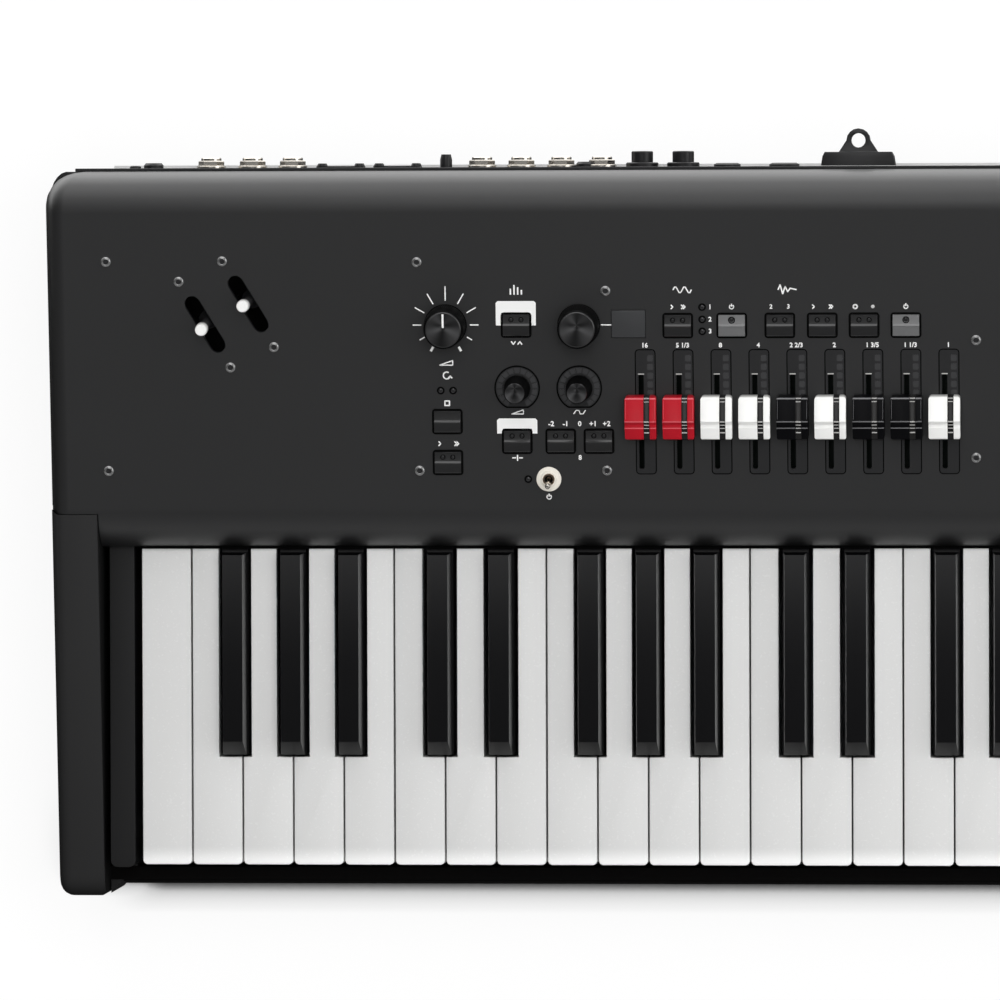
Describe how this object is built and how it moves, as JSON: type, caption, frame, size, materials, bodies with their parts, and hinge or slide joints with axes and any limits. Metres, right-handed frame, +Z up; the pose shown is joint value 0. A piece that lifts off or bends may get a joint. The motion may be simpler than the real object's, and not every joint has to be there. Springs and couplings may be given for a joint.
{
  "type": "stage keyboard",
  "caption": "Stage keyboard with spring-returned piano-style keys, organ drawbars, knobs, buttons, two levers and rear sockets in a low dark case.",
  "frame": {"origin": "under the middle of the box that holds the whole keyboard, at the height of the surface it stands on", "axes": "+X towards the high keys (the player's right), +Y from the player to the rear sockets, +Z up"},
  "size_m": [1.09, 0.3548, 0.1455],
  "materials": {
    "cover": "satin dark grey textured paint on sheet",
    "cheek": "fine-grained black moulding",
    "black_plastic": "satin black moulding",
    "white_key": "smooth off-white moulding",
    "black_key": "satin black moulding",
    "steel": "bare zinc-plated sheet",
    "nickel": "bright nickel plate",
    "rubber": "black moulded rubber",
    "board": "green lacquered board",
    "knob": "satin black moulding",
    "lever": "white moulding",
    "red_cap": "glossy red moulding",
    "white_cap": "glossy white moulding",
    "black_cap": "glossy black moulding",
    "window": "smoked clear window"
  },
  "bodies": {
    "case": {"top_panel": "cover", "left_cheek": "cheek", "right_cheek": "cheek", "bottom_case": "cheek", "rear_panel": "black_plastic", "jack_board": "board", "power_supply": "steel", "cord_anchor": "black_plastic", "key_surround": "black_plastic", "keybed_frame": "steel", "foot_front_left": "rubber", "foot_front_right": "rubber", "foot_rear_left": "rubber", "foot_rear_right": "rubber", "main_board": "board", "voice_display": "window", "main_display": "window"},
    "keys_octave_1_white_egbd": {"keys_octave_1_white_egbd": "white_key"},
    "keys_octave_1_white_fac": {"keys_octave_1_white_fac": "white_key"},
    "keys_octave_1_black": {"keys_octave_1_black": "black_key"},
    "keys_octave_2_white_egbd": {"keys_octave_2_white_egbd": "white_key"},
    "keys_octave_2_white_fac": {"keys_octave_2_white_fac": "white_key"},
    "keys_octave_2_black": {"keys_octave_2_black": "black_key"},
    "keys_octave_3_white_egbd": {"keys_octave_3_white_egbd": "white_key"},
    "keys_octave_3_white_fac": {"keys_octave_3_white_fac": "white_key"},
    "keys_octave_3_black": {"keys_octave_3_black": "black_key"},
    "keys_octave_4_white_egbd": {"keys_octave_4_white_egbd": "white_key"},
    "keys_octave_4_white_fac": {"keys_octave_4_white_fac": "white_key"},
    "keys_octave_4_black": {"keys_octave_4_black": "black_key"},
    "keys_octave_5_white_egbd": {"keys_octave_5_white_egbd": "white_key"},
    "keys_octave_5_white_fac": {"keys_octave_5_white_fac": "white_key"},
    "keys_octave_5_black": {"keys_octave_5_black": "black_key"},
    "keys_octave_6_white_egbd": {"keys_octave_6_white_egbd": "white_key"},
    "keys_octave_6_white_fac": {"keys_octave_6_white_fac": "white_key"},
    "keys_octave_6_black": {"keys_octave_6_black": "black_key"},
    "master_volume_knob": {"master_volume_knob": "knob"},
    "organ_volume_knob": {"organ_volume_knob": "knob"},
    "organ_drive_knob": {"organ_drive_knob": "knob"},
    "keys_volume_knob": {"keys_volume_knob": "knob"},
    "organ_voice_encoder": {"organ_voice_encoder": "knob"},
    "menu_encoder": {"menu_encoder": "knob"},
    "keys_voice_encoder": {"keys_voice_encoder": "knob"},
    "pitch_lever": {"pitch_lever": "lever"},
    "modulation_lever": {"modulation_lever": "lever"},
    "organ_toggle": {"organ_toggle": "nickel"},
    "keys_toggle": {"keys_toggle": "nickel"},
    "rotary_buttons": {"rotary_buttons": "black_plastic"},
    "manual_buttons": {"manual_buttons": "black_plastic"},
    "octave_buttons": {"octave_buttons": "black_plastic"},
    "vibrato_percussion_buttons": {"vibrato_percussion_buttons": "black_plastic"},
    "live_set_buttons": {"live_set_buttons": "black_plastic"},
    "drawbar_1": {"drawbar_1": "red_cap"},
    "drawbar_2": {"drawbar_2": "red_cap"},
    "drawbar_3": {"drawbar_3": "white_cap"},
    "drawbar_4": {"drawbar_4": "white_cap"},
    "drawbar_5": {"drawbar_5": "black_cap"},
    "drawbar_6": {"drawbar_6": "white_cap"},
    "drawbar_7": {"drawbar_7": "black_cap"},
    "drawbar_8": {"drawbar_8": "black_cap"},
    "drawbar_9": {"drawbar_9": "white_cap"}
  },
  "joints": [
    {"name": "keys_octave_1_white_egbd_hinge", "type": "hinge", "parent": "case", "child": "keys_octave_1_white_egbd", "pos_m": [0, 0.0626, 0.082], "axis": [1, 0, 0], "range_deg": [0, 2.55], "stiffness_Nm_per_rad": 10, "springref_deg": -6.88},
    {"name": "keys_octave_1_white_fac_hinge", "type": "hinge", "parent": "case", "child": "keys_octave_1_white_fac", "pos_m": [0, 0.0626, 0.082], "axis": [1, 0, 0], "range_deg": [0, 2.55], "stiffness_Nm_per_rad": 10, "springref_deg": -6.88},
    {"name": "keys_octave_1_black_hinge", "type": "hinge", "parent": "case", "child": "keys_octave_1_black", "pos_m": [0, 0.0626, 0.082], "axis": [1, 0, 0], "range_deg": [0, 2.55], "stiffness_Nm_per_rad": 10, "springref_deg": -6.88},
    {"name": "keys_octave_2_white_egbd_hinge", "type": "hinge", "parent": "case", "child": "keys_octave_2_white_egbd", "pos_m": [0, 0.0626, 0.082], "axis": [1, 0, 0], "range_deg": [0, 2.55], "stiffness_Nm_per_rad": 10, "springref_deg": -6.88},
    {"name": "keys_octave_2_white_fac_hinge", "type": "hinge", "parent": "case", "child": "keys_octave_2_white_fac", "pos_m": [0, 0.0626, 0.082], "axis": [1, 0, 0], "range_deg": [0, 2.55], "stiffness_Nm_per_rad": 10, "springref_deg": -6.88},
    {"name": "keys_octave_2_black_hinge", "type": "hinge", "parent": "case", "child": "keys_octave_2_black", "pos_m": [0, 0.0626, 0.082], "axis": [1, 0, 0], "range_deg": [0, 2.55], "stiffness_Nm_per_rad": 10, "springref_deg": -6.88},
    {"name": "keys_octave_3_white_egbd_hinge", "type": "hinge", "parent": "case", "child": "keys_octave_3_white_egbd", "pos_m": [0, 0.0626, 0.082], "axis": [1, 0, 0], "range_deg": [0, 2.55], "stiffness_Nm_per_rad": 10, "springref_deg": -6.88},
    {"name": "keys_octave_3_white_fac_hinge", "type": "hinge", "parent": "case", "child": "keys_octave_3_white_fac", "pos_m": [0, 0.0626, 0.082], "axis": [1, 0, 0], "range_deg": [0, 2.55], "stiffness_Nm_per_rad": 10, "springref_deg": -6.88},
    {"name": "keys_octave_3_black_hinge", "type": "hinge", "parent": "case", "child": "keys_octave_3_black", "pos_m": [0, 0.0626, 0.082], "axis": [1, 0, 0], "range_deg": [0, 2.55], "stiffness_Nm_per_rad": 10, "springref_deg": -6.88},
    {"name": "keys_octave_4_white_egbd_hinge", "type": "hinge", "parent": "case", "child": "keys_octave_4_white_egbd", "pos_m": [0, 0.0626, 0.082], "axis": [1, 0, 0], "range_deg": [0, 2.55], "stiffness_Nm_per_rad": 10, "springref_deg": -6.88},
    {"name": "keys_octave_4_white_fac_hinge", "type": "hinge", "parent": "case", "child": "keys_octave_4_white_fac", "pos_m": [0, 0.0626, 0.082], "axis": [1, 0, 0], "range_deg": [0, 2.55], "stiffness_Nm_per_rad": 10, "springref_deg": -6.88},
    {"name": "keys_octave_4_black_hinge", "type": "hinge", "parent": "case", "child": "keys_octave_4_black", "pos_m": [0, 0.0626, 0.082], "axis": [1, 0, 0], "range_deg": [0, 2.55], "stiffness_Nm_per_rad": 10, "springref_deg": -6.88},
    {"name": "keys_octave_5_white_egbd_hinge", "type": "hinge", "parent": "case", "child": "keys_octave_5_white_egbd", "pos_m": [0, 0.0626, 0.082], "axis": [1, 0, 0], "range_deg": [0, 2.55], "stiffness_Nm_per_rad": 10, "springref_deg": -6.88},
    {"name": "keys_octave_5_white_fac_hinge", "type": "hinge", "parent": "case", "child": "keys_octave_5_white_fac", "pos_m": [0, 0.0626, 0.082], "axis": [1, 0, 0], "range_deg": [0, 2.55], "stiffness_Nm_per_rad": 10, "springref_deg": -6.88},
    {"name": "keys_octave_5_black_hinge", "type": "hinge", "parent": "case", "child": "keys_octave_5_black", "pos_m": [0, 0.0626, 0.082], "axis": [1, 0, 0], "range_deg": [0, 2.55], "stiffness_Nm_per_rad": 10, "springref_deg": -6.88},
    {"name": "keys_octave_6_white_egbd_hinge", "type": "hinge", "parent": "case", "child": "keys_octave_6_white_egbd", "pos_m": [0, 0.0626, 0.082], "axis": [1, 0, 0], "range_deg": [0, 2.55], "stiffness_Nm_per_rad": 10, "springref_deg": -6.88},
    {"name": "keys_octave_6_white_fac_hinge", "type": "hinge", "parent": "case", "child": "keys_octave_6_white_fac", "pos_m": [0, 0.0626, 0.082], "axis": [1, 0, 0], "range_deg": [0, 2.55], "stiffness_Nm_per_rad": 10, "springref_deg": -6.88},
    {"name": "keys_octave_6_black_hinge", "type": "hinge", "parent": "case", "child": "keys_octave_6_black", "pos_m": [0, 0.0626, 0.082], "axis": [1, 0, 0], "range_deg": [0, 2.55], "stiffness_Nm_per_rad": 10, "springref_deg": -6.88},
    {"name": "master_volume_knob_turn", "type": "hinge", "parent": "case", "child": "master_volume_knob", "pos_m": [-0.36075, 0.08785, 0.12639], "axis": [0, -0.14, 0.9901], "range_deg": [-150, 150]},
    {"name": "organ_volume_knob_turn", "type": "hinge", "parent": "case", "child": "organ_volume_knob", "pos_m": [-0.32825, 0.05884, 0.12229], "axis": [0, -0.14, 0.9901], "range_deg": [-150, 150]},
    {"name": "organ_drive_knob_turn", "type": "hinge", "parent": "case", "child": "organ_drive_knob", "pos_m": [-0.29975, 0.05884, 0.12229], "axis": [0, -0.14, 0.9901], "range_deg": [-150, 150]},
    {"name": "keys_volume_knob_turn", "type": "hinge", "parent": "case", "child": "keys_volume_knob", "pos_m": [0.15595, 0.05884, 0.12229], "axis": [0, -0.14, 0.9901], "range_deg": [-150, 150]},
    {"name": "organ_voice_encoder_turn", "type": "hinge", "parent": "case", "child": "organ_voice_encoder", "pos_m": [-0.29955, 0.08785, 0.12639], "axis": [0, -0.14, 0.9901], "continuous": true},
    {"name": "menu_encoder_turn", "type": "hinge", "parent": "case", "child": "menu_encoder", "pos_m": [0.04595, 0.08785, 0.12639], "axis": [0, -0.14, 0.9901], "continuous": true},
    {"name": "keys_voice_encoder_turn", "type": "hinge", "parent": "case", "child": "keys_voice_encoder", "pos_m": [0.15595, 0.08785, 0.12639], "axis": [0, -0.14, 0.9901], "continuous": true},
    {"name": "pitch_lever_tilt", "type": "hinge", "parent": "case", "child": "pitch_lever", "pos_m": [-0.47155, 0.09059, 0.11062], "axis": [0.859, 0.507, 0.0717], "range_deg": [-18, 18], "stiffness_Nm_per_rad": 0.12},
    {"name": "modulation_lever_tilt", "type": "hinge", "parent": "case", "child": "modulation_lever", "pos_m": [-0.45145, 0.09989, 0.11193], "axis": [0.859, 0.507, 0.0717], "range_deg": [-15, 21]},
    {"name": "organ_toggle_flip", "type": "hinge", "parent": "case", "child": "organ_toggle", "pos_m": [-0.31425, 0.0171, 0.11537], "axis": [1, 0, 0], "range_deg": [-24, 0]},
    {"name": "keys_toggle_flip", "type": "hinge", "parent": "case", "child": "keys_toggle", "pos_m": [0.12745, 0.0171, 0.11537], "axis": [1, 0, 0], "range_deg": [-24, 0]},
    {"name": "rotary_buttons_press", "type": "slide", "parent": "case", "child": "rotary_buttons", "axis": [0, 0.14, -0.9901], "range_m": [0, 0.0008], "stiffness_N_per_m": 600, "springref_m": -0.0005},
    {"name": "manual_buttons_press", "type": "slide", "parent": "case", "child": "manual_buttons", "axis": [0, 0.14, -0.9901], "range_m": [0, 0.0008], "stiffness_N_per_m": 600, "springref_m": -0.0005},
    {"name": "octave_buttons_press", "type": "slide", "parent": "case", "child": "octave_buttons", "axis": [0, 0.14, -0.9901], "range_m": [0, 0.0008], "stiffness_N_per_m": 600, "springref_m": -0.0005},
    {"name": "vibrato_percussion_buttons_press", "type": "slide", "parent": "case", "child": "vibrato_percussion_buttons", "axis": [0, 0.14, -0.9901], "range_m": [0, 0.0008], "stiffness_N_per_m": 600, "springref_m": -0.0005},
    {"name": "live_set_buttons_press", "type": "slide", "parent": "case", "child": "live_set_buttons", "axis": [0, 0.14, -0.9901], "range_m": [0, 0.0008], "stiffness_N_per_m": 600, "springref_m": -0.0005},
    {"name": "drawbar_1_slide", "type": "slide", "parent": "case", "child": "drawbar_1", "axis": [0, 0.9901, 0.14], "range_m": [-0.0215, 0.0165]},
    {"name": "drawbar_2_slide", "type": "slide", "parent": "case", "child": "drawbar_2", "axis": [0, 0.9901, 0.14], "range_m": [-0.0215, 0.0165]},
    {"name": "drawbar_3_slide", "type": "slide", "parent": "case", "child": "drawbar_3", "axis": [0, 0.9901, 0.14], "range_m": [-0.0215, 0.0165]},
    {"name": "drawbar_4_slide", "type": "slide", "parent": "case", "child": "drawbar_4", "axis": [0, 0.9901, 0.14], "range_m": [-0.0215, 0.0165]},
    {"name": "drawbar_5_slide", "type": "slide", "parent": "case", "child": "drawbar_5", "axis": [0, 0.9901, 0.14], "range_m": [-0.0215, 0.0165]},
    {"name": "drawbar_6_slide", "type": "slide", "parent": "case", "child": "drawbar_6", "axis": [0, 0.9901, 0.14], "range_m": [-0.0215, 0.0165]},
    {"name": "drawbar_7_slide", "type": "slide", "parent": "case", "child": "drawbar_7", "axis": [0, 0.9901, 0.14], "range_m": [-0.0215, 0.0165]},
    {"name": "drawbar_8_slide", "type": "slide", "parent": "case", "child": "drawbar_8", "axis": [0, 0.9901, 0.14], "range_m": [-0.0215, 0.0165]},
    {"name": "drawbar_9_slide", "type": "slide", "parent": "case", "child": "drawbar_9", "axis": [0, 0.9901, 0.14], "range_m": [-0.0215, 0.0165]}
  ]
}
